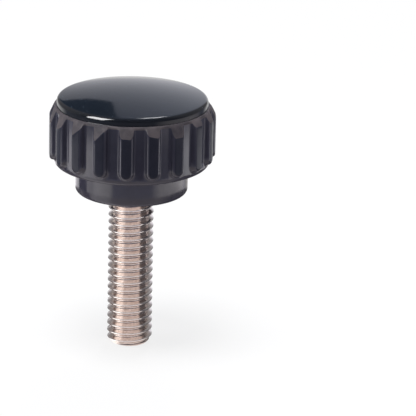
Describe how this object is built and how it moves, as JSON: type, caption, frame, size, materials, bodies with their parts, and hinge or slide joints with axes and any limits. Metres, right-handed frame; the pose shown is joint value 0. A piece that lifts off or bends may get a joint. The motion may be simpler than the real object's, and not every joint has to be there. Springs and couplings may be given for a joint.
{
  "type": "knurled knob",
  "caption": "Black moulded clamping knob with a low glossy dome, ribbed drum, narrow hub and a moulded-in threaded steel stud.",
  "frame": {"origin": "centre of the hub's end face, which seats on the clamped work", "axes": "+Z along the knob's axis, from the seat to the dome; the stud runs along -Z"},
  "size_m": [0.0216, 0.0215, 0.0345],
  "materials": {
    "phenolic": "glossy moulded black, brown where the flash was trimmed",
    "steel": "bright plated, turned thread"
  },
  "bodies": {
    "root": {"knob_body": "phenolic", "threaded_stud": "steel"}
  },
  "joints": []
}
